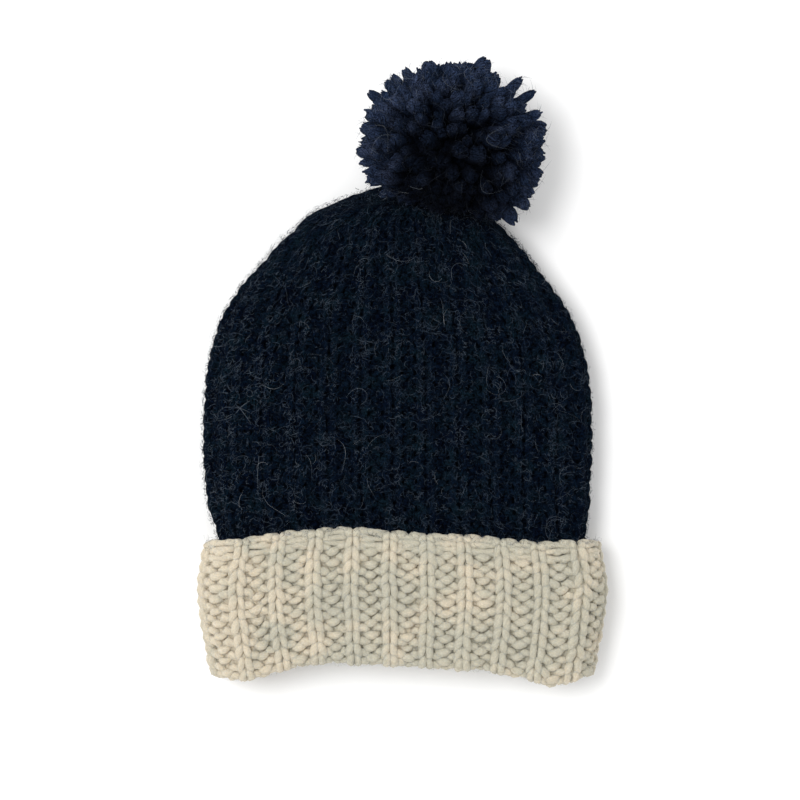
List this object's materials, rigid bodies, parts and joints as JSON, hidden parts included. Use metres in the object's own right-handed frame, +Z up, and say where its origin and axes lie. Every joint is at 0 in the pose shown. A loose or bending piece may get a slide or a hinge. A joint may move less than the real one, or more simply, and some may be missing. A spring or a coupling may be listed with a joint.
{
  "type": "pom-pom hat",
  "caption": "Knitted winter hat with a turned-up ribbed cuff, a ribbed crown gathered at the top and a yarn pompom, lying flat.",
  "frame": {"origin": "on the surface that the hat lies on, under the centre of its box", "axes": "+X across the hat, +Y from the cuff's fold to the pompom, +Z up from the surface that it lies on to its front"},
  "size_m": [0.2234, 0.3372, 0.0905],
  "materials": {
    "cream_wool": "matte bulky wool, one by one rib",
    "navy_wool": "matte fuzzy bulky wool, ribbed, with pale flyaway fibres",
    "navy_pompom": "matte cut yarn ends",
    "tie_yarn": "matte yarn"
  },
  "bodies": {
    "root": {"cuff": "cream_wool", "crown": "navy_wool", "pompom": "navy_pompom", "pom_tie": "tie_yarn"}
  },
  "joints": []
}
